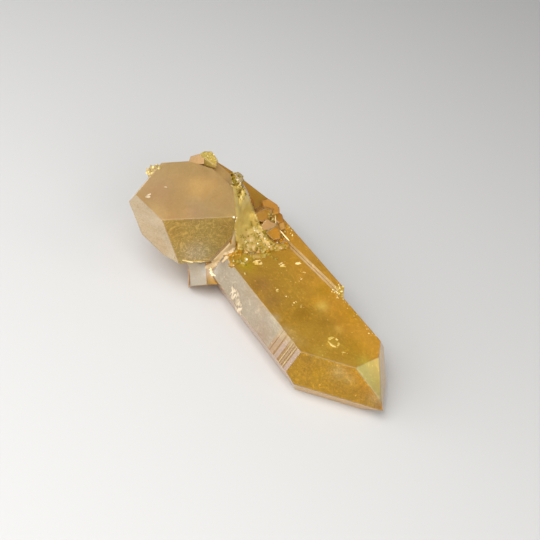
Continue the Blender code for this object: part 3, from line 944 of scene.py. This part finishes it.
# %% Tint, clouds and grain
aura, nodes, shader = plain_material("aura_quartz")
tint = add_node(nodes, "ShaderNodeVertexColor", layer_name="coat_tint")
place = nodes.new("ShaderNodeTexCoord").outputs["Object"]
clouds = add_node(nodes, "ShaderNodeTexNoise", Vector=place,
                  Scale=110, Detail=7, Roughness=0.6, Distortion=0.9)
grain = add_node(nodes, "ShaderNodeTexNoise", Vector=place,
                 Scale=950, Detail=8, Roughness=0.75, Distortion=1.8)
cloudy = ramp(nodes, clouds.outputs["Fac"], 0.34, (0.88, 0.84, 0.74), 0.62, (1, 1, 1))
grainy = ramp(nodes, grain.outputs["Fac"], 0.36, (0.60, 0.54, 0.38), 0.60, (1, 1, 1))
color = mix(nodes, "MULTIPLY", tint.outputs["Color"], cloudy, 0.9)
color = mix(nodes, "MULTIPLY", color, grainy, tint.outputs["Alpha"])
print("aura quartz has", len(nodes), "nodes so far")

# %% [markdown]
# ## Growth hills
# The grainiest faces are covered with low growth hills, which show as level lines, as on a map.
# The sine of a noise gives such lines: each time the noise climbs one step, the sine turns once.

# %% Growth hills
TURNS = 60
LEAST_GRAIN, FULL_WEAR = 0.75, 0.75   # where the lines begin, how strong

hills = add_node(nodes, "ShaderNodeTexNoise", Vector=place,
                 Scale=240, Detail=3, Roughness=0.5, Distortion=0.8)
turns = add_node(nodes, "ShaderNodeMath", operation="MULTIPLY", Value=hills.outputs["Fac"])
turns.inputs[1].default_value = TURNS
waves = add_node(nodes, "ShaderNodeMath", operation="SINE", Value=turns.outputs["Value"])
lines = ramp(nodes, waves.outputs["Value"], 0.3, (0.56, 0.53, 0.44), 0.95, (1, 1, 1))
worn = add_node(nodes, "ShaderNodeMapRange", Value=tint.outputs["Alpha"],
                From_Min=LEAST_GRAIN, From_Max=1.0, To_Max=FULL_WEAR).outputs["Result"]
color = mix(nodes, "MULTIPLY", color, lines, worn)
print("level lines above graininess", LEAST_GRAIN)

# %% [markdown]
# ## Wisps and dust
# Pale wisps and specks hang inside the long crystal; the short one is cleaner.  Real veils would
# need a mesh within the mesh, so they are added to the colour instead.

# %% Wisps and dust
CLEAN_END, DUSTY_START, CLEAN_DUST = -0.015, -0.01, 0.15   # m, m, share

drawn_out = add_node(nodes, "ShaderNodeMapping", Vector=place,
                     Rotation=(0.3, 0.2, 0.5), Scale=(0.65, 1, 1))
wisps = add_node(nodes, "ShaderNodeTexNoise", Vector=drawn_out.outputs["Vector"],
                 Scale=420, Detail=7, Roughness=0.7, Distortion=2.5)
dust = add_node(nodes, "ShaderNodeTexVoronoi", Vector=place, Scale=520, Randomness=1)
haze = ramp(nodes, wisps.outputs["Fac"], 0.52, (0, 0, 0), 0.74, (0.45, 0.45, 0.42))
haze = mix(nodes, "MULTIPLY", haze, tint.outputs["Color"], 1.0)
specks = ramp(nodes, dust.outputs["Distance"], 0.05, (0.40, 0.30, 0.10), 0.11, (0, 0, 0))
split = add_node(nodes, "ShaderNodeSeparateXYZ", Vector=place)
dusty = add_node(nodes, "ShaderNodeMapRange", Value=split.outputs["X"], From_Min=CLEAN_END,
                 From_Max=DUSTY_START, To_Min=CLEAN_DUST).outputs["Result"]
for light in (haze, specks):
    color = mix(nodes, "ADD", color, light, dusty)
feed(shader, Base_Color=color)
print("colour is linked:", shader.inputs["Base Color"].is_linked)

# %% Gloss and clear body
WORN_ROUGHER = 0.3   # the worn faces are this much rougher

wax = add_node(nodes, "ShaderNodeMapRange", Value=grain.outputs["Fac"], To_Min=0.10, To_Max=0.32)
satin = add_node(nodes, "ShaderNodeMath", operation="MULTIPLY_ADD", Value=worn)
satin.inputs[1].default_value = WORN_ROUGHER
aura.node_tree.links.new(wax.outputs["Result"], satin.inputs[2])
relief = add_node(nodes, "ShaderNodeBump", Height=grain.outputs["Fac"],
                  Strength=0.3, Distance=0.0001)
feed(shader, Roughness=satin.outputs["Value"], Normal=relief.outputs["Normal"], IOR=QUARTZ_IOR,
     Transmission_Weight=0.52, Coat_Weight=0.6, Coat_Roughness=0.1, Coat_IOR=1.45,
     Specular_Tint=(1.0, 0.8, 0.42, 1))
amber = add_node(nodes, "ShaderNodeVolumeAbsorption", Color=(0.98, 0.75, 0.25, 1), Density=30)
feed(nodes["Material Output"], Volume=amber.outputs["Volume"])
print("aura quartz has", len(nodes), "nodes")

# %% [markdown]
# ## The pale crust
# The later skin and the ledge are milky and waxy.  Light scattering inside them would be slow to
# render and hardly show at this thickness, so an opaque finish with a mottled tint is enough.

# %% Pale crust
def set_surface(nodes, shader, source, smooth, rough, strength, distance):
    """Roughness between two values and a fine bump, both following one texture."""
    wax = add_node(nodes, "ShaderNodeMapRange", Value=source, To_Min=smooth, To_Max=rough)
    relief = add_node(nodes, "ShaderNodeBump", Height=source,
                      Strength=strength, Distance=distance)
    feed(shader, Roughness=wax.outputs["Result"], Normal=relief.outputs["Normal"],
         IOR=QUARTZ_IOR)


pale, nodes, shader = plain_material("pale_crust")
tint = add_node(nodes, "ShaderNodeVertexColor", layer_name="coat_tint")
place = nodes.new("ShaderNodeTexCoord").outputs["Object"]
clouds = add_node(nodes, "ShaderNodeTexNoise", Vector=place,
                  Scale=420, Detail=6, Roughness=0.65).outputs["Fac"]
mottled = ramp(nodes, clouds, 0.38, (0.8, 0.72, 0.5), 0.62, (1, 1, 1))
feed(shader, Base_Color=mix(nodes, "MULTIPLY", tint.outputs["Color"], mottled, 0.8))
set_surface(nodes, shader, clouds, 0.2, 0.42, strength=0.4, distance=0.0002)
print("pale crust has", len(nodes), "nodes")

# %% [markdown]
# ## The small crystals and flakes
# They are too small for tints of their own: each kind gets a finish whose colour wanders between
# two tints, so that neighbours differ.  One function makes them all from a table.

# %% Finishes of the small pieces
POINT_FINISHES = (   # name, its darker and lighter tint, the pieces that wear it
    ("brown_rim", (0.22, 0.10, 0.02), (0.36, 0.18, 0.06), (stub_rim,)),
    ("worn_ring", (0.42, 0.27, 0.03), (0.60, 0.44, 0.13), (ring,)),
    ("edge_gold", (0.36, 0.27, 0.05), (0.78, 0.64, 0.30), (edges,)),
    ("golden_points", (0.22, 0.155, 0.005), (0.40, 0.285, 0.05), (crust, lumps, strays)),
    ("pale_flakes", (0.52, 0.34, 0.06), (0.84, 0.66, 0.32), (top_flakes, rims)),
    # painted highlight: this near-white finish makes the bright points and the corner glints shine
    ("painted_glint_finish", (0.80, 0.62, 0.32), (0.98, 0.90, 0.72), (sparks, glints)),
    ("rubbed_scales", (0.26, 0.19, 0.11), (0.48, 0.38, 0.25), (left_scales, marks)))


def point_material(name, dark, light):
    """Small glittering crystals whose colour wanders between two tints."""
    made, nodes, shader = plain_material(name)
    place = nodes.new("ShaderNodeTexCoord").outputs["Object"]
    clouds = add_node(nodes, "ShaderNodeTexNoise", Vector=place,
                      Scale=420, Detail=4).outputs["Fac"]
    feed(shader, Base_Color=ramp(nodes, clouds, 0.38, dark, 0.6, light))
    set_surface(nodes, shader, clouds, 0.12, 0.35, strength=0.2, distance=0.0001)
    return made


for name, dark, light, pieces in POINT_FINISHES:
    finish = point_material(name, dark, light)
    for piece in pieces:
        piece.data.materials.append(finish)
stone.data.materials.clear()
stone.data.materials.append(aura)
for piece in (skin, lip, ledge):
    piece.data.materials.append(pale)
print(len(POINT_FINISHES) + 2, "finishes")

# %% [markdown]
# ## Pieces on the root
# Nothing on a stone moves, so every piece rides on the root.  The coated stone stands in for the
# CAD solid, which stays hidden.

# %% Pieces on the root
for piece in (stone, skin, lip, ledge, crust, lumps, strays, edges, sparks, left_scales, glints,
              top_flakes, rims, marks, stub_rim, ring):
    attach(piece, "root")
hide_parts("quartz_cluster")
print("the stone has", len(stone.data.polygons), "faces")
